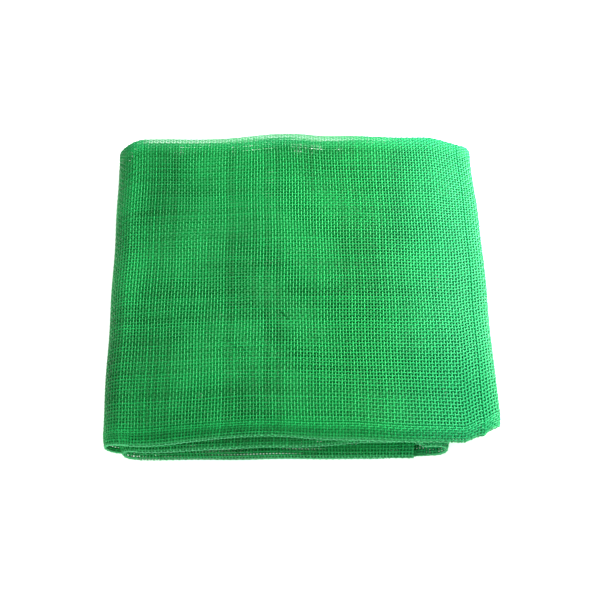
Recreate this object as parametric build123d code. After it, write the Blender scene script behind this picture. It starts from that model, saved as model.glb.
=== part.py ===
"""A folded bundle of woven green mesh netting.

One sheet is folded in three like a letter, into a strip of three plies. The strip is then rolled
up flat into four leaves, and its outer end is turned under. X runs along the roll, from the
closed roll on the left to the turned-under end on the right. -Y is the front, where every leaf
has its crease, and Z = 0 is the face that the bundle lies on. The origin is the centre of the
underside. Every ply and every fold of the sheet is a solid of its own, as thick as two crossed
yarns.
"""

import os

from build123d import *

# Driving dimensions, in millimetres
WIDTH = 260.0  # along the roll, from the left roll to the turned-under end
DEPTH = 248.0  # from the front creases to the free selvedge at the back
PLY = 1.2  # thickness of one ply: two crossed yarns
SLOPE = 10.0  # run over which a leaf's raised ply comes down to its front crease
SELVEDGE_REACH = 2.0  # how far a free selvedge stands out behind the back fold
TUCK = 5.0  # from the foot of the slope back to the tucked middle ply's own edge
LEG = 5.0  # straight run of the ply on each side of a turn, which is one piece with it

# Heights of the middle of each ply: (lower, middle, upper) in every leaf
BOTTOM_LEVELS = (0.6, 2.1, 3.6)
THIRD_LEVELS = (5.2, 8.6, 11.9)
SECOND_LEVELS = (13.7, 17.0, 20.4)
TOP_LEVELS = (22.1, 24.7, 27.4)
FLAP_LEVELS = (14.4, 17.0, 19.6)  # the turned-under end, below the top leaf

# Where the leaves end along the roll
OVERHANG = 33.0  # the top leaf runs on past the right fold
THIRD_SETBACK = 57.0  # the inner free end lies this far short of the bundle's right side
INNER_FOLD_SETBACK = 10.5  # the inner fold lies this far inside the left roll
FLAP_GAP = 0.5  # from the right fold to the cut edge of the turned-under end

# How far each front crease stands back from the front of the bundle
TOP_FRONT = 3.0
SECOND_FRONT = 1.0
THIRD_FRONT = 0.0
BOTTOM_FRONT = 3.0
FLAP_FRONT = 9.0

RIGHT = WIDTH / 2
FRONT = -DEPTH / 2
BACK = DEPTH / 2


def half_height(low, high):
    """Radius of the middle of a ply that folds over from one height to another."""
    return (high - low) / 2


# Each fold's outermost ply touches the fold's tip, which sets the centre of the fold
LEFT_CENTRE = -RIGHT + half_height(BOTTOM_LEVELS[0], TOP_LEVELS[2]) + PLY / 2
INNER_TIP = -RIGHT + INNER_FOLD_SETBACK
INNER_CENTRE = INNER_TIP + half_height(THIRD_LEVELS[0], SECOND_LEVELS[2]) + PLY / 2
RIGHT_TIP = RIGHT - OVERHANG
RIGHT_CENTRE = RIGHT_TIP - half_height(BOTTOM_LEVELS[0], SECOND_LEVELS[2]) - PLY / 2
END_CENTRE = RIGHT - half_height(FLAP_LEVELS[0], TOP_LEVELS[2]) - PLY / 2


def outline(*points):
    """A closed face in the YZ plane, from points given as (y, z)."""
    return Plane.YZ * make_face(Polyline(*points, close=True))


def strip(y_front, y_back, height):
    """Section of a flat ply."""
    low, high = height - PLY / 2, height + PLY / 2
    return outline((y_front, low), (y_back, low), (y_back, high), (y_front, high))


def crease(y_front, lower, upper):
    """Section of a front crease: the raised ply slopes down onto the lower one and turns under."""
    foot = y_front + SLOPE
    pinch = y_front + SLOPE * PLY / (upper - lower)
    half = PLY / 2
    return outline(
        (foot, upper + half),
        (y_front, lower + half),
        (y_front, lower - half),
        (foot, lower - half),
        (foot, lower + half),
        (pinch, lower + half),
        (foot, upper - half),
    )


def hairpin(low, high, towards):
    """Section of one ply that turns over between two heights, with its legs, bulging to +1 or -1."""
    radius = half_height(low, high)
    full = Circle(radius + PLY / 2) - Circle(radius - PLY / 2)
    side, other = (Align.MIN, Align.MAX) if towards > 0 else (Align.MAX, Align.MIN)
    bend = full & Rectangle(2 * radius, 4 * radius, align=(side, Align.CENTER))
    leg = Rectangle(LEG, PLY, align=(other, Align.CENTER))
    return bend + Pos(0, radius) * leg + Pos(0, -radius) * leg


def leaf(left, right, levels, front, outer_up):
    """The five pieces of one leaf: three plies, the crease in front and the fold behind."""
    lower, middle, upper = levels
    foot = FRONT + front + SLOPE
    inner, outer = (lower, upper) if outer_up else (upper, lower)
    folded = sorted((inner, middle))
    bend = BACK - SELVEDGE_REACH - half_height(*folded) - PLY / 2
    ends = {outer: BACK, inner: bend - LEG}
    sections = {
        "upper_ply": strip(foot, ends[upper], upper),
        "middle_ply": strip(foot + TUCK, bend - LEG, middle),
        "lower_ply": strip(foot, ends[lower], lower),
        "front_crease": crease(FRONT + front, lower, upper),
        "back_fold": Plane.YZ * (Pos(bend, sum(folded) / 2) * hairpin(*folded, 1)),
    }
    return {name: Pos(left, 0, 0) * extrude(face, right - left) for name, face in sections.items()}


def fold(centre, lows, highs, towards, front):
    """Three nested half turns, outermost first, of the strip folding over on itself."""
    outer_back, tucked_back, inner_back = BACK, BACK - 2 * SELVEDGE_REACH, BACK - SELVEDGE_REACH
    spans = {
        "outer_ply": (FRONT + front, outer_back),
        "middle_ply": (FRONT + front + SLOPE + TUCK, tucked_back),
        "inner_ply": (FRONT + front, inner_back),
    }
    pieces = {}
    for (name, (y_front, y_back)), low, high in zip(spans.items(), lows, highs):
        half_turn = extrude(Plane.XZ * hairpin(low, high, towards), y_back - y_front)
        pieces[name] = Pos(centre, y_back, (low + high) / 2) * half_turn
    return pieces


left, inner, right = LEFT_CENTRE + LEG, INNER_CENTRE + LEG, RIGHT_CENTRE - LEG
inner_end, flap_end, end = RIGHT - THIRD_SETBACK, RIGHT_TIP + FLAP_GAP, END_CENTRE - LEG
groups = {
    "top_leaf": leaf(left, end, TOP_LEVELS, TOP_FRONT, True),
    "second_leaf": leaf(inner, right, SECOND_LEVELS, SECOND_FRONT, True),
    "third_leaf": leaf(inner, inner_end, THIRD_LEVELS, THIRD_FRONT, False),
    "bottom_leaf": leaf(left, right, BOTTOM_LEVELS, BOTTOM_FRONT, False),
    "end_flap": leaf(flap_end, end, FLAP_LEVELS, FLAP_FRONT, False),
    "left_roll": fold(LEFT_CENTRE, BOTTOM_LEVELS, TOP_LEVELS[::-1], -1, BOTTOM_FRONT),
    "inner_fold": fold(INNER_CENTRE, THIRD_LEVELS, SECOND_LEVELS[::-1], -1, SECOND_FRONT),
    "right_fold": fold(RIGHT_CENTRE, BOTTOM_LEVELS, SECOND_LEVELS[::-1], 1, BOTTOM_FRONT),
    "end_fold": fold(END_CENTRE, FLAP_LEVELS, TOP_LEVELS[::-1], 1, FLAP_FRONT),
}

os.makedirs("parts", exist_ok=True)
for group, pieces in groups.items():
    for name, piece in pieces.items():
        export_step(piece, f"parts/{group}_{name}.step")
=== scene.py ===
# %% [markdown]
# # A folded bundle of woven mesh netting
# This script dresses a bundle of green mesh netting: one sheet of woven plastic yarn, folded in
# three like a letter and then rolled up flat. The CAD frame already holds every ply and fold as
# a plain slab. Here each slab is replaced by real netting, yarn by yarn.

# %% Load the frame
import math

import bmesh
import bpy
import numpy as np
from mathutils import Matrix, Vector


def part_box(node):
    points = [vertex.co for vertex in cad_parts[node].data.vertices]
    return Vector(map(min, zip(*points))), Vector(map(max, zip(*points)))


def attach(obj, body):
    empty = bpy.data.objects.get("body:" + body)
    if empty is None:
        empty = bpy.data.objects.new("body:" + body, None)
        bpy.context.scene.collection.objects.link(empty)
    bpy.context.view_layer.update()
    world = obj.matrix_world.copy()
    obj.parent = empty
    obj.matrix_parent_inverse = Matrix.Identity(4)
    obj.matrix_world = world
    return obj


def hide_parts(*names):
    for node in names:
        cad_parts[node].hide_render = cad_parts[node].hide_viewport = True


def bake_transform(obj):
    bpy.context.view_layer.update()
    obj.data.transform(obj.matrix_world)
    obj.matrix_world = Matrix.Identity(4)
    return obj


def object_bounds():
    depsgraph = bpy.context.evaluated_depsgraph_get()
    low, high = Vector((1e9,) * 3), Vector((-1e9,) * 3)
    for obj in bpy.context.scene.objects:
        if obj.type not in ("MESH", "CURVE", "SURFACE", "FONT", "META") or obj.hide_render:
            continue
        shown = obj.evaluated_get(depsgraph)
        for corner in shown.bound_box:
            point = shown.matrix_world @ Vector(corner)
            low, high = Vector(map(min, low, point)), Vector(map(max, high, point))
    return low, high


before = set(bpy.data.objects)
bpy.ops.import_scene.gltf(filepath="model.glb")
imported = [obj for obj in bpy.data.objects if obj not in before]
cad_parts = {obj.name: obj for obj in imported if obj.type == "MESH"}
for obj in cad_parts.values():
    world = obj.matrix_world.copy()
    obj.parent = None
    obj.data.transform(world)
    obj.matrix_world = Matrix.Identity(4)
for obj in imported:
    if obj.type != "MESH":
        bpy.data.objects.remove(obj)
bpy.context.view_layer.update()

MM = 0.001

# %% [markdown]
# ## The camera
# The bundle lies on a table and is seen from the front and well above. A long lens keeps its
# sides nearly parallel. The camera is placed first, so that every later choice can be judged
# through it.

# %% Camera
CAMERA_RISE = math.radians(58.5)
CAMERA_TURN = math.radians(0.3)
CAMERA_LENS = 82.7
CAMERA_DISTANCE = 0.952
CAMERA_AIM = Vector((0.001, -0.0095, 0.014))


def add_camera(aim):
    """A camera that looks at the aim point from the front and above, a little from the left."""
    data = bpy.data.cameras.new("studio_camera")
    data.lens = CAMERA_LENS
    camera = bpy.data.objects.new("studio_camera", data)
    bpy.context.scene.collection.objects.link(camera)
    back = Vector((-math.sin(CAMERA_TURN), -math.cos(CAMERA_TURN), 0)) * math.cos(CAMERA_RISE)
    back.z = math.sin(CAMERA_RISE)
    camera.location = aim + back * CAMERA_DISTANCE
    camera.rotation_euler = (-back).to_track_quat("-Z", "Y").to_euler()
    bpy.context.scene.camera = camera
    return camera


place = add_camera(CAMERA_AIM).location
print("the camera stands at", [round(value, 3) for value in place], "m")

# %% [markdown]
# ## Colours and nodes
# Colours are written as sRGB hex values, the way a paint chart gives them. Shaders work in
# linear light, so one function turns them round. A second small function adds any node.

# %% Colour and node helpers


def linear(code):
    """The linear colour of an sRGB hex value."""
    parts = [int(code[i : i + 2], 16) / 255 for i in (1, 3, 5)]
    return tuple(c / 12.92 if c <= 0.04045 else ((c + 0.055) / 1.055) ** 2.4 for c in parts) + (1.0,)


def add_node(tree, kind, settings=(), values=(), links=()):
    """Adds a node, sets its properties and input values, and links {input: source socket}."""
    node = tree.nodes.new(kind)
    for name, value in dict(settings).items():
        setattr(node, name, value)
    for name, value in dict(values).items():
        node.inputs[name].default_value = value
    for name, source in dict(links).items():
        tree.links.new(source, node.inputs[name])
    return node


def new_material(name):
    """An empty node material and its output node."""
    material = bpy.data.materials.new(name)
    material.use_nodes = True
    material.node_tree.nodes.clear()
    return material, add_node(material.node_tree, "ShaderNodeOutputMaterial")


print("half grey in linear light is", round(linear("#808080")[0], 3))

# %% [markdown]
# ## The yarn's plastic
# Mesh like this is woven from drawn polyethylene monofilament: a clear green plastic thread with
# a smooth, slightly waxy skin and soft highlights. The colour drifts slowly over the cloth, and
# each yarn has its own tone. The paler, bluer green at the overhanging end and the back edge is
# painted light: it stands for the light that comes through the cloth where few plies lie on one
# another. The paler green along the crease lips is a painted highlight, where the folded edges
# catch the light. Real light in the plastic would need many samples, and would hardly show on
# such thin yarns, so both are painted into the colour.

# %% Yarn material
LOW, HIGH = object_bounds()
RIGHT, FRONT, BACK, HEIGHT = HIGH.x, LOW.y, HIGH.y, HIGH.z
# The paler, bluer green from here to the end and the back edge is painted light, for light coming through
# the cloth.
BACKLIGHT_FROM_X, BACKLIGHT_AT_END = RIGHT - 95 * MM, 0.85
BACKLIGHT_FROM_Y, BACKLIGHT_AT_REAR = BACK - 16 * MM, 0.6
DRIFT_LENGTH = 45 * MM
YARN_TONE_SHARE = 0.55
TONE_RANGE = (0.35, 1.0)


def monofilament(name, dark, light, painted_backlight, painted_lip_highlight):
    """Green polyethylene yarn: dark to light by its tone, then painted light, paler and bluer,
    towards the overhanging end and the back edge, and a painted highlight along the crease lips."""
    material, output = new_material(name)
    tree = material.node_tree
    place = add_node(tree, "ShaderNodeTexCoord").outputs["Object"]
    drift = add_node(tree, "ShaderNodeTexNoise", values={"Scale": 1 / DRIFT_LENGTH, "Detail": 2.0},
                     links={"Vector": place})
    yarn = add_node(tree, "ShaderNodeAttribute", {"attribute_name": "yarn_tone"})
    tone = add_node(tree, "ShaderNodeMath", {"operation": "MULTIPLY_ADD"}, {1: YARN_TONE_SHARE},
                    {0: yarn.outputs["Fac"], 2: drift.outputs["Fac"]})
    ramp = add_node(tree, "ShaderNodeValToRGB", links={"Fac": tone.outputs["Value"]})
    for stop, position, code in zip(ramp.color_ramp.elements, TONE_RANGE, (dark, light)):
        stop.position = position
        stop.color = linear(code)
    axes = add_node(tree, "ShaderNodeSeparateXYZ", links={"Vector": place})
    end = add_node(tree, "ShaderNodeMapRange", {"interpolation_type": "SMOOTHSTEP"},
                   {"From Min": BACKLIGHT_FROM_X, "From Max": RIGHT, "To Max": BACKLIGHT_AT_END},
                   {"Value": axes.outputs["X"]})
    rear = add_node(tree, "ShaderNodeMapRange", {"interpolation_type": "SMOOTHSTEP"},
                    {"From Min": BACKLIGHT_FROM_Y, "From Max": BACK, "To Max": BACKLIGHT_AT_REAR},
                    {"Value": axes.outputs["Y"]})
    backlight_share = add_node(tree, "ShaderNodeMath", {"operation": "ADD", "use_clamp": True},
                    links={0: end.outputs["Result"], 1: rear.outputs["Result"]})
    # painted light: mixes in the paler, bluer green towards the end and the back edge
    colour = add_node(tree, "ShaderNodeMix", {"data_type": "RGBA"}, {7: linear(painted_backlight)},
                      {0: backlight_share.outputs["Value"], 6: ramp.outputs["Color"]})
    # painted highlight: a paler green along the crease lips, where the folded edges catch the light
    pressed = add_node(tree, "ShaderNodeAttribute", {"attribute_name": "pressed"})
    lip_highlighted = add_node(tree, "ShaderNodeMix", {"data_type": "RGBA"}, {7: linear(painted_lip_highlight)},
                       {0: pressed.outputs["Fac"], 6: colour.outputs[2]})
    plastic = add_node(tree, "ShaderNodeBsdfPrincipled",
                       values={"Roughness": 0.40, "IOR": 1.51, "Specular IOR Level": 0.25},
                       links={"Base Color": lip_highlighted.outputs[2]})
    tree.links.new(plastic.outputs["BSDF"], output.inputs["Surface"])
    return material


# The last two colours are painted: light through the cloth at its thin ends, and a highlight along the
# crease lips.
YARN_PLASTIC = monofilament("polyethylene_monofilament", dark="#067A34", light="#18AC54",
                            painted_backlight="#25B26D", painted_lip_highlight="#58CE85")
print("made", YARN_PLASTIC.name, "with", len(YARN_PLASTIC.node_tree.nodes), "nodes")

# %% [markdown]
# ## How the bundle is folded
# The folded strip is the same all along the roll: an outer ply with a free selvedge at the back,
# a front crease, an inner ply, a back fold and a tucked middle ply. So any point of the sheet has
# three coordinates: how far it is along the roll, where it lies between front and back, and its
# depth, from 0 on the outer ply to 1 on the inner ply. The roll has nine stretches: five flat
# leaves, the last being the turned-under end, and four half turns that join them. A cloth
# simulation could not hold so many touching plies, so smooth lines describe each stretch.

# %% Smooth lines
PLY = 1.2 * MM  # a ply's thickness in the frame
SLOPE = 10 * MM  # how far behind the crease a ply has reached its own level
SPRING = 1.3 * MM  # how far the back fold springs open past its slab
LEG = 5 * MM  # the straight run at each end of a half turn


def smooth(t):
    """Eases from 0 to 1 with a flat start and end."""
    t = np.clip(t, 0, 1)
    return t * t * (3 - 2 * t)


def eased(points, at):
    """A smooth line through a few (place, value) points."""
    places, values = zip(*points)
    index = np.clip(np.searchsorted(places, at, side="right") - 1, 0, len(places) - 2)
    places, values = np.array(places), np.array(values)
    t = (at - places[index]) / (places[index + 1] - places[index])
    return values[index] + (values[index + 1] - values[index]) * smooth(t)


def hairpin(walked, radius):
    """Distance out and height of a walk down one leg, round a half turn, and back up the other."""
    angle = np.clip((walked - LEG) / radius, 0, math.pi)
    straight = np.maximum(LEG - walked, 0) + np.maximum(walked - LEG - math.pi * radius, 0)
    return radius * np.sin(angle) - straight, -radius * np.cos(angle)


print("halfway up an eased line is", float(smooth(0.5)))

# %% [markdown]
# ## A flat leaf
# A leaf's ends and levels are read from its slabs in the frame, so that it always fits them. Its
# front crease is not quite straight, so it is given as a few setbacks along the leaf.

# %% Leaf


class Leaf:
    """A flat stretch of the roll, from its left end (along = 0) to its right end (along = 1).
    The creases are (along, setback of the front crease in mm) points."""

    def __init__(self, name, outer_up, creases):
        self.name = name
        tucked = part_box(f"{name}_middle_ply")
        self.left, self.right = tucked[0].x, tucked[1].x
        plies = [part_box(f"{name}_{ply}_ply")[1].z - PLY / 2 for ply in ("upper", "middle", "lower")]
        self.outer, self.middle, self.inner = plies if outer_up else plies[::-1]
        self.tuck_depth = (self.middle - self.outer) / (self.inner - self.outer)
        self.low_depth = 1.0 if outer_up else 0.0
        self.back_radius = abs(self.middle - self.inner) / 2
        self.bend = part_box(f"{name}_back_fold")[1].y - self.back_radius - PLY / 2 + SPRING
        self.creases = [(place, value * MM) for place, value in creases]

    def length(self, depth):
        return self.right - self.left

    def place(self, along, depth):
        x = self.left + (self.right - self.left) * along
        return x, self.outer + (self.inner - self.outer) * depth

    def front(self, along):
        return FRONT + eased(self.creases, along)

    def crease_depth(self, along):
        return np.full_like(along, self.low_depth)

    def back(self, along):
        return np.full_like(along, self.bend), np.full_like(along, self.back_radius)


top = Leaf("top_leaf", True, ((0, 2), (0.35, 5), (0.6, 3.5), (0.94, 3), (1, 9)))
second = Leaf("second_leaf", True, ((0, 1), (0.5, 1), (0.84, 6), (0.93, 7), (1, 3)))
third = Leaf("third_leaf", False, ((0, -1), (0.4, -1.5), (0.8, -1.5), (1, -0.5)))
bottom = Leaf("bottom_leaf", False, ((0, 5), (0.12, 1), (0.8, 0), (1, 3)))
flap = Leaf("end_flap", False, ((0, 9.5), (0.45, 10), (1, 14)))
flap.left -= 1.2 * MM  # the cut edge shows a little past its slab
for leaf in (top, second, third, bottom, flap):
    print(leaf.name, "runs from", round(leaf.left / MM), "to", round(leaf.right / MM), "mm")

# %% [markdown]
# ## A half turn
# Where the strip turns over, each ply goes round on its own radius. Loose cloth nests: the inner
# plies are pushed out until they lie against the outer one, which is what closes the mouth of a
# roll. At the free end the front corner is pushed back a little, as a soft corner is.

# %% Turn


class Turn:
    """A half turn of the roll, from the lower leaf (along = 0) to the upper leaf (along = 1).
    The nesting is the gap left between one ply and the next where the turn bulges out, and the
    rounding is how far the front corner is pushed back."""

    def __init__(self, name, lower, upper, side, nesting=None, rounding=0.0):
        self.name, self.side, self.lower, self.upper = name, side, lower, upper
        self.nesting, self.rounding = nesting, rounding
        self.centre = lower.left - LEG if side < 0 else lower.right + LEG
        self.tuck_depth = (lower.tuck_depth + upper.tuck_depth) / 2
        self.end = 0.0 if side < 0 else 1.0

    def arc(self, depth):
        """Height of the centre and radius of the half turn at a depth in the strip."""
        low = self.lower.outer + (self.lower.inner - self.lower.outer) * depth
        high = self.upper.outer + (self.upper.inner - self.upper.outer) * depth
        return (low + high) / 2, (high - low) / 2

    def length(self, depth):
        return math.pi * self.arc(depth)[1] + 2 * LEG

    def place(self, along, depth):
        middle, radius = self.arc(depth)
        out, rise = hairpin(along * self.length(depth), radius)
        if self.nesting:
            outermost = self.arc(0)[1]
            out = np.where(out > 0, out * (outermost - 2 * self.nesting * depth) / radius, out)
        return self.centre + self.side * out, middle + rise

    def front(self, along):
        ends = [leaf.front(np.array([self.end]))[0] for leaf in (self.lower, self.upper)]
        return ends[0] + (ends[1] - ends[0]) * smooth(along) + self.rounding * np.sin(math.pi * along)

    def crease_depth(self, along):
        return self.lower.low_depth + (self.upper.low_depth - self.lower.low_depth) * smooth(along)

    def back(self, along):
        lower, upper, share = self.lower, self.upper, smooth(along)
        bend = lower.bend + (upper.bend - lower.bend) * share
        return bend, lower.back_radius + (upper.back_radius - lower.back_radius) * share


left_roll = Turn("left_roll", bottom, top, -1, nesting=1.35 * MM)
inner_fold = Turn("inner_fold", third, second, -1)
right_fold = Turn("right_fold", bottom, second, 1, nesting=1.8 * MM)
end_fold = Turn("end_fold", flap, top, 1, nesting=1.35 * MM, rounding=6 * MM)
for turn in (left_roll, inner_fold, right_fold, end_fold):
    print(turn.name, "has a radius of", round(turn.arc(0)[1] / MM, 1), "mm on its outer ply")

# %% [markdown]
# ## The three plies of the strip
# Each part of the letter fold is a short recipe that gives, for a share from 0 to 1 across it,
# the distance from the front and the depth. The outer ply slopes down to the crease at whichever
# side of the leaf is lowest, and stays a lip's thickness off the other ply. The points of the
# crease are gathered towards its lip, where it bends most.

# %% Parts of the letter fold
LIP_HEIGHT = 0.14  # the lip's thickness, as a share of the leaf's
LIP_REACH = 0.06  # how far back the lip is round, as a share of the slope
GATHER = 0.5  # how much closer together the points of a crease lie at its lip
GATHER_REACH = 0.25
TUCK_REACH = 0.6  # how far behind the crease the middle ply starts, as a share of the slope


def flat_ply(share, depth, start, end):
    """A ply that stays at one depth, from its start behind the crease to its end at the back."""
    y = start + (end - start) * share
    return y, np.full_like(y, depth)


def crease_rise(share):
    """How far the raised ply has left the lip, as a share of the leaf's thickness."""
    lip = LIP_HEIGHT * np.sqrt(1 - (1 - np.clip(share / LIP_REACH, 0, 1)) ** 2)
    return lip + (1 - LIP_HEIGHT) * np.sin(np.clip(share, 0, 1) * math.pi / 2)


def outer_ply(stretch, along, share):
    """From the foot of the crease's slope to the free selvedge at the back."""
    foot = stretch.front(along) + SLOPE
    return flat_ply(share, 0.0, foot, BACK)


def inner_ply(stretch, along, share):
    """From the foot of the crease's slope to the back fold."""
    foot = stretch.front(along) + SLOPE
    return flat_ply(share, 1.0, foot, stretch.back(along)[0] - LEG)


def middle_ply(stretch, along, share):
    """From its own cut edge, tucked in behind the crease, to the back fold."""
    edge = stretch.front(along) + SLOPE * TUCK_REACH
    end = stretch.back(along)[0] - LEG
    return flat_ply(share, stretch.tuck_depth, edge, end)


def crease(stretch, along, share):
    """From the foot of the outer ply's slope, round the crease, to the inner ply's."""
    reach = np.abs(1 - 2 * share)
    reach *= 1 - GATHER * np.exp(-((reach / GATHER_REACH) ** 2))
    y = stretch.front(along) + SLOPE * reach
    low, rise = stretch.crease_depth(along), crease_rise(reach)
    outer_leg = low * (1 - rise)
    inner_leg = 1 - (1 - low) * (1 - rise)
    return y, np.where(share < 0.5, outer_leg, inner_leg)


def back_fold(stretch, along, share):
    """From the inner ply, round the back, to the tucked middle ply."""
    bend, radius = stretch.back(along)
    out, rise = hairpin(share * (math.pi * radius + 2 * LEG), radius)
    return bend + out, 1 - (1 - stretch.tuck_depth) * (rise / radius + 1) / 2


print("the top leaf's plies lie at", [round(z / MM, 1) for z in (top.outer, top.middle, top.inner)], "mm")

# %% [markdown]
# ## How the cloth settles
# Nothing on a real bundle is quite straight. One smooth field moves every point of the sheet a
# little. Because the same field moves all the plies, they can't be pushed through each other,
# and the underside, where the height is zero, stays flat on the table. Before that, each ply
# slips up to two millimetres over the outer one, so that their holes don't line up.

# %% Settling
DROOP = 4 * MM
SKEW = 0.016
OVERHANG_START = right_fold.centre + right_fold.arc(0)[1] + PLY / 2
BACK_LINE = ((-130, -8), (-110, -2), (-72, -3), (-5, 1), (25, -1.5), (92, -2), (132, -9))


def settle(x, y, z):
    """Moves points from the even, folded shape to the relaxed one. All lengths within are in mm."""
    u, v, lift = x / MM, y / MM, z / HEIGHT
    hang = np.clip((x - OVERHANG_START) / (RIGHT - OVERHANG_START), 0, 1.2)
    near_front, near_back = smooth((-55 - v) / 65), smooth((v - 20) / 100)
    # The front is pressed down towards both of its corners, and the left end all along.
    pressed = 0.22 * near_front * (smooth((-35 - u) / 90) + 0.8 * smooth((u - 10) / 90))
    pressed = pressed + 0.10 * smooth((-85 - u) / 45) * (1 - near_front)
    # Low, slow waves in the layers, and small ones in the edges.
    dz = lift * (0.8 * np.sin(u / 41 + 0.5) * np.sin(v / 57 + 0.9) + 0.35 * np.sin((u + 1.4 * v) / 24))
    dx = 0.9 * np.sin(v / 63 + 0.4) * lift + 0.25 * np.sin(v / 11 + u / 17)
    dx = dx + (2.5 * near_front - 1.8 * near_back) * hang
    dy = 0.5 * np.sin(u / 29 + 1.0) + 0.2 * np.sin(u / 9 + v / 13) + near_back * eased(BACK_LINE, u)
    return x + dx * MM - SKEW * y, y + dy * MM, z * (1 - pressed) + dz * MM - DROOP * hang**1.5


def drift(x, y, depth):
    """How far a ply has slipped over the outer one, along the roll and across it."""
    u, v = x / MM, y / MM
    slip_x = 1.1 * np.sin(v / 17 + 1.3 * np.sin(u / 31)) + 0.6 * np.sin(u / 13 + v / 29)
    slip_x *= 1 - smooth((np.abs(u) - 108) / 20)
    slip_y = 0.7 + 0.8 * np.sin(u / 19 + v / 37) + 0.5 * np.sin(u / 43 - v / 15)
    return slip_x * depth * MM, slip_y * depth * MM


def sheet_point(stretch, part, along, share):
    """The place of a point of the sheet, from its two shares."""
    y, depth = part(stretch, along, share)
    x, z = stretch.place(along, depth)
    slip_x, slip_y = drift(x, y, depth)
    return np.stack(settle(x + slip_x, y + slip_y, z), -1)


print("the free end hangs out by", round((RIGHT - OVERHANG_START) / MM), "mm")

# %% [markdown]
# ## How many yarns
# Yarns lie 2 to 2.5 mm apart. Flat parts have an even number of them and turned parts an odd
# number, so that the pattern carries on across every fold. At the free edge the last yarns are
# packed closer, which is what makes a woven selvedge. The outer ply and the crease are seen best
# and get a few more yarns, and the tucked ply gets fewer, to save weight.

# %% Yarn counts
PITCH_ALONG = 2.1 * MM
PITCH_ACROSS = 2.45 * MM
SELVEDGE = (4.7, 3.95, 3.25, 2.6, 2.05, 1.55, 1.05, 0.6, 0.15)  # pitches from the edge
REACH = {
    outer_ply: BACK - FRONT - SLOPE,
    inner_ply: top.bend - LEG - FRONT - SLOPE,
    middle_ply: top.bend - LEG - FRONT - SLOPE * TUCK_REACH,
    crease: 2.6 * SLOPE,
    back_fold: 2 * LEG + math.pi * second.back_radius,
}
EXTRA = {outer_ply: 4, crease: 2, middle_ply: -22}


def yarn_count(length, pitch, odd=False):
    """The nearest whole number of yarns that is even, or odd."""
    return 2 * max(1, round(length / pitch / 2 - 0.5 * odd)) + odd


def crossing_shares(count, selvedge=False):
    """Where the yarns lie, with the panel's two edges added. A selvedge packs its last yarns."""
    if not selvedge:
        return np.concatenate([[0], (np.arange(count) + 0.5) / count, [1]])
    replaced = math.ceil(max(SELVEDGE))
    plain = count - len(SELVEDGE) + replaced
    even = (np.arange(plain - replaced) + 0.5) / plain
    return np.concatenate([[0], even, 1 - np.array(SELVEDGE) / plain, [1]])


ACROSS = {part: yarn_count(reach, PITCH_ACROSS, part in (crease, back_fold)) + EXTRA.get(part, 0)
          for part, reach in REACH.items()}
print("yarns between front and back:", {part.__name__: count for part, count in ACROSS.items()})

# %% [markdown]
# ## The weave
# A plain weave passes every yarn over one crossing yarn and under the next. So a yarn needs one
# point at each crossing, pushed half a yarn's thickness out of the cloth on alternate sides. The
# yarns that run across the roll are pulled straighter, so they take the smaller part of the bend.

# %% Woven panels
YARN_THICK = 0.56 * MM
CRIMP_ACROSS = 0.3  # the part of the bend that the yarns across the roll take
LIP = 1.2 * MM
PARITY = {outer_ply: 0, crease: 1, inner_ply: 1, back_fold: 1, middle_ply: 0}


def cloth_normals(points):
    """Unit normals of a grid of points."""
    normal = np.cross(np.gradient(points, axis=0), np.gradient(points, axis=1))
    return normal / (np.linalg.norm(normal, axis=-1, keepdims=True) + 1e-12)


def facing_out(stretch, along, depth, normal):
    """1 if the normals point to the strip's outer side, or -1. Only the first quarter of the
    panel is asked, because a crease turns over halfway."""
    first = np.s_[:, : (along.shape[1] - 2) // 4]
    out = np.stack(stretch.place(along, depth - 0.05), -1) - np.stack(stretch.place(along, depth), -1)
    return np.sign(np.median((normal[..., 0] * out[..., 0] + normal[..., 2] * out[..., 1])[first]))


def woven_panel(stretch, part, across_yarns, along_yarns, parity):
    """Rows of points, cloth normals, nearness to the crease lip for its painted highlight, and tone: the
    yarns across the roll, then along it.
    """
    along, share = np.meshgrid(
        crossing_shares(across_yarns), crossing_shares(along_yarns, part is outer_ply), indexing="ij")
    points = sheet_point(stretch, part, along, share)
    y, depth = part(stretch, along, share)
    normal = cloth_normals(points)
    side = (-1.0) ** np.add.outer(np.arange(across_yarns + 2), np.arange(along_yarns + 2) + parity)
    side *= facing_out(stretch, along, depth, normal) * YARN_THICK
    # A yarn's two ends stay in the middle of the cloth, where they meet the next panel's.
    inside_along, inside_share = np.zeros(across_yarns + 2), np.zeros(along_yarns + 2)
    inside_along[1:-1] = inside_share[1:-1] = 1
    over = points + normal * (side * inside_share * CRIMP_ACROSS)[..., None]
    under = points - normal * (side * inside_along[:, None] * (1 - CRIMP_ACROSS))[..., None]
    # How near a point is to the crease lip: this sets the painted highlight there and widens the yarns.
    pressed = 1 - np.clip((y - stretch.front(along)) / LIP, 0, 1)
    # Panels with the same number of yarns share their tones, so a yarn keeps its tone past a fold.
    tones = [np.random.default_rng(count).random(count + 2) for count in (across_yarns, along_yarns)]
    across_tone, along_tone = np.broadcast_arrays(tones[0][:, None], tones[1][None])
    across_rows = np.concatenate([over, normal, np.stack([pressed, across_tone], -1)], -1)[1:-1]
    along_rows = np.concatenate([under, normal, np.stack([pressed, along_tone], -1)], -1)
    along_rows = along_rows.transpose(1, 0, 2)[1:-1]
    return list(across_rows) + list(along_rows)


cloth = (1 + 2 * (1 - CRIMP_ACROSS)) * YARN_THICK
print("a yarn is", YARN_THICK / MM, "mm thick, and the woven cloth", round(cloth / MM, 2))

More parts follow.
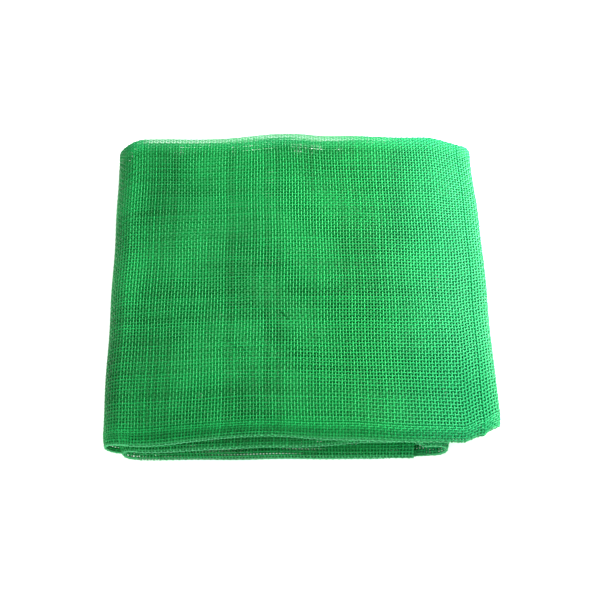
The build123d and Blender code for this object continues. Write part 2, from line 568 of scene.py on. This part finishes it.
# %% [markdown]
# ## The yarns
# The yarns are curves with a square bevel, the lightest tube that Blender makes, which smooth
# shading rounds off. A ply has some ten thousand crossings, so anything rounder would only cost
# weight. The tubes are then widened within the cloth, because netting is flattened when it is
# pressed and rolled: most at the two ends and in the creases. Wide yarns also let the few plies
# that are drawn hide what the real, finer ones hide together.

# %% Yarn tubes
SIDES = 4
YARN_WIDTH = 0.9 * MM
WIDER_AT_RIGHT, WIDER_AT_LEFT, WIDER_IN_CREASE = 0.42, 0.32, 0.3


def yarn_tubes(name, rows):
    """A mesh of capped square tubes along the rows. Its points are the caps, last row first,
    and then the tubes, row by row."""
    curve = bpy.data.curves.new(name, "CURVE")
    curve.dimensions = "3D"
    curve.bevel_depth = YARN_THICK / 2
    curve.bevel_resolution = 0
    curve.use_fill_caps = True
    for row in rows:
        spline = curve.splines.new("POLY")
        spline.points.add(len(row) - 1)
        spline.points.foreach_set("co", np.c_[row[:, :3], np.ones(len(row))].astype(np.float32).ravel())
    draft = bpy.data.objects.new(name + "_draft", curve)
    bpy.context.scene.collection.objects.link(draft)
    graph = bpy.context.evaluated_depsgraph_get()
    mesh = bpy.data.meshes.new_from_object(draft.evaluated_get(graph))
    bpy.data.objects.remove(draft)
    bpy.data.curves.remove(curve)
    mesh.name = name
    return mesh


def yarn_width(x, pressed):
    """A yarn's width by its place along the roll and how far it is pressed into a crease."""
    east = x / MM
    return YARN_WIDTH * (1 + WIDER_AT_RIGHT * smooth((east + 10) / 120)
                         + WIDER_AT_LEFT * smooth((-105 - east) / 15) + WIDER_IN_CREASE * pressed)


def weave(name, rows, material):
    """One piece of netting: tubes along the rows, flattened to the yarn's width, and welded."""
    mesh = yarn_tubes(name, rows)
    runs = [row[[-1, 0]] for row in reversed(rows)] + rows
    centre, normal, paint = np.split(np.repeat(np.concatenate(runs), SIDES, axis=0), [3, 6], axis=1)
    points = np.empty(centre.size, np.float32)
    mesh.vertices.foreach_get("co", points)
    offset = points.reshape(-1, 3) - centre
    rise = (offset * normal).sum(-1, keepdims=True) * normal
    width = yarn_width(centre[:, :1], paint[:, :1])
    mesh.vertices.foreach_set("co", (centre + rise + (offset - rise) * width / YARN_THICK).ravel())
    for kind, values in zip(("pressed", "yarn_tone"), paint.T):
        attribute = mesh.attributes.new(kind, "FLOAT", "POINT")
        attribute.data.foreach_set("value", values.astype(np.float32))
    form = bmesh.new()
    form.from_mesh(mesh)
    bmesh.ops.remove_doubles(form, verts=form.verts, dist=0.001 * MM)
    form.to_mesh(mesh)
    form.free()
    for face in mesh.polygons:
        face.use_smooth = True
    mesh.materials.append(material)
    piece = bpy.data.objects.new(name, mesh)
    bpy.context.scene.collection.objects.link(piece)
    return piece


widths = [round(float(yarn_width(x, 0)) / MM, 2) for x in (LOW.x, 0.0, RIGHT)]
print("yarn width in mm at the left end, in the middle and at the right end:", widths)

# %% [markdown]
# ## The flat leaves
# Each leaf has five pieces, and each stands for the CAD slab of the same name. The hidden leaves
# have fewer yarns along the roll, except in their creases, which show at the front.

# %% Weave the leaves


def finish_piece(node, flat):
    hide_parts(node)


def weave_leaf(leaf, body, coarser=1.0):
    """The five pieces of a leaf. Its plies' yarns along the roll may lie further apart."""
    outer_name, inner_name = ("upper", "lower") if leaf.low_depth else ("lower", "upper")
    parts = {
        f"{outer_name}_ply": (outer_ply, "net"),
        f"{inner_name}_ply": (inner_ply, "net"),
        "middle_ply": (middle_ply, "net_tucked"),
        "front_crease": (crease, "net_fold"),
        "back_fold": (back_fold, "net_fold"),
    }
    for suffix, (part, slot) in parts.items():
        pitch = PITCH_ALONG if part is crease else coarser * PITCH_ALONG
        count = yarn_count(leaf.length(0), pitch)
        node = f"{leaf.name}_{suffix}"
        rows = woven_panel(leaf, part, count, ACROSS[part], PARITY[part])
        piece = weave(f"woven_{node}", rows, YARN_PLASTIC)
        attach(piece, body)
        finish_piece(node, (leaf.length(0), REACH[part]))


weave_leaf(top, "top_leaf")
weave_leaf(flap, "top_leaf")
weave_leaf(second, "folded_stack", coarser=1.15)
weave_leaf(third, "folded_stack", coarser=1.25)
weave_leaf(bottom, "folded_stack", coarser=1.1)

# %% [markdown]
# ## The half turns
# In a turn the plies are nested, and each has its own length, so each gets its own number of
# yarns. The crease belongs to the outer and the inner ply by halves. Three of the turns ride
# with the leaves they join. The left roll, the hinge of the top leaf, is left where it lies
# with no body, and the heights at which it leaves the stack and meets the leaf are worked out.

# %% Weave the turns
SHORT_OF_HALF = 0.9999  # keeps the outer half of a crease off the inner one's side


def half(part, first):
    """One half of a part, as a part of its own."""
    shift = 0.0 if first else 0.5
    return lambda stretch, along, share: part(stretch, along, shift + share / 2 * SHORT_OF_HALF)


def bend_heights(turn):
    """The height up to which a turn stays with its lower leaf, and from which it follows its upper."""
    along, share = np.meshgrid([0.0, 1.0], np.linspace(0, 1, 61), indexing="ij")
    heights = [sheet_point(turn, part, along, share)[..., 2] for part in PARITY]
    return max(height[0].max() for height in heights), min(height[1].min() for height in heights)


def weave_turn(turn, body, bend=None):
    """The three pieces of a turn: each is a flat part and a bent one that carries on from it."""
    half_reach, lip_yarns = REACH[crease] / 2, ACROSS[crease] // 2
    outer_lip = half(crease, True), lip_yarns + 1, 1, half_reach
    inner_lip = half(crease, False), lip_yarns, 0, half_reach
    tuck = back_fold, ACROSS[back_fold], 1, REACH[back_fold]
    parts = {
        "outer_ply": (outer_ply, outer_lip, 0.0),
        "inner_ply": (inner_ply, inner_lip, 1.0),
        "middle_ply": (middle_ply, tuck, turn.tuck_depth),
    }
    for suffix, (flat_part, (bent_part, number, parity, reach), depth) in parts.items():
        node = f"{turn.name}_{suffix}"
        count, swap = yarn_count(turn.length(depth), PITCH_ALONG, odd=True), int(turn.side < 0)
        rows = woven_panel(turn, flat_part, count, ACROSS[flat_part], PARITY[flat_part] + swap)
        rows += woven_panel(turn, bent_part, count, number, parity + swap)
        piece = weave(f"woven_{node}", rows, YARN_PLASTIC)
        if bend:
            low, high = bend_heights(turn)
            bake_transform(piece)
        else:
            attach(piece, body)
        finish_piece(node, (turn.length(depth), REACH[flat_part] + reach))


weave_turn(left_roll, "folded_stack", bend="top_leaf")
weave_turn(inner_fold, "folded_stack")
weave_turn(right_fold, "folded_stack")
weave_turn(end_fold, "top_leaf")
heights = [round(height / MM, 1) for height in bend_heights(left_roll)]
print("the left roll bends between heights", heights)

# %% [markdown]
# ## The studio
# The bundle lies on plain white paper under an even pale sky. A large soft light from the right
# and behind shows the weave, and a weak one from the front left opens the shadows. The paper
# gives off a little light of its own, so that it stays white around the bundle.

# %% Floor and lights
WHITE = linear("#FFFFFF")
FLOOR_LEVEL = -0.4 * MM
FLOOR_GLOW, SKY_STRENGTH = 0.7, 0.4


def add_floor():
    """A large sheet of matt white paper, just below the bundle."""
    form = bmesh.new()
    bmesh.ops.create_grid(form, x_segments=1, y_segments=1, size=3.0)
    mesh = bpy.data.meshes.new("studio_floor")
    form.to_mesh(mesh)
    form.free()
    material, output = new_material("matt_white_paper")
    paper = add_node(material.node_tree, "ShaderNodeBsdfPrincipled",
                     values={"Base Color": WHITE, "Roughness": 0.9,
                             "Emission Color": WHITE, "Emission Strength": FLOOR_GLOW})
    material.node_tree.links.new(paper.outputs["BSDF"], output.inputs["Surface"])
    mesh.materials.append(material)
    floor = bpy.data.objects.new("studio_floor", mesh)
    floor.location.z = FLOOR_LEVEL
    bpy.context.scene.collection.objects.link(floor)


def add_area_light(name, place, aim, size, power):
    """A square soft light at a place, turned to the aim point."""
    data = bpy.data.lights.new(name, "AREA")
    data.size = size
    data.energy = power
    light = bpy.data.objects.new(name, data)
    light.location = place
    light.rotation_euler = (Vector(aim) - Vector(place)).to_track_quat("-Z", "Y").to_euler()
    bpy.context.scene.collection.objects.link(light)


def add_sky(strength):
    """An even white light from all sides."""
    world = bpy.data.worlds.new("studio_sky")
    world.use_nodes = True
    background = world.node_tree.nodes["Background"]
    background.inputs["Color"].default_value = WHITE
    background.inputs["Strength"].default_value = strength
    bpy.context.scene.world = world


add_floor()
add_area_light("window_light", (0.38, 0.28, 0.31), (0.05, 0.0, 0.02), 0.45, 10.2)
add_area_light("fill_light", (-0.5, -0.8, 0.45), (0.0, 0.0, 0.0), 0.6, 3.8)
add_sky(SKY_STRENGTH)
bpy.context.scene.view_settings.view_transform = "Standard"
print("lights:", [light.name for light in bpy.data.lights])
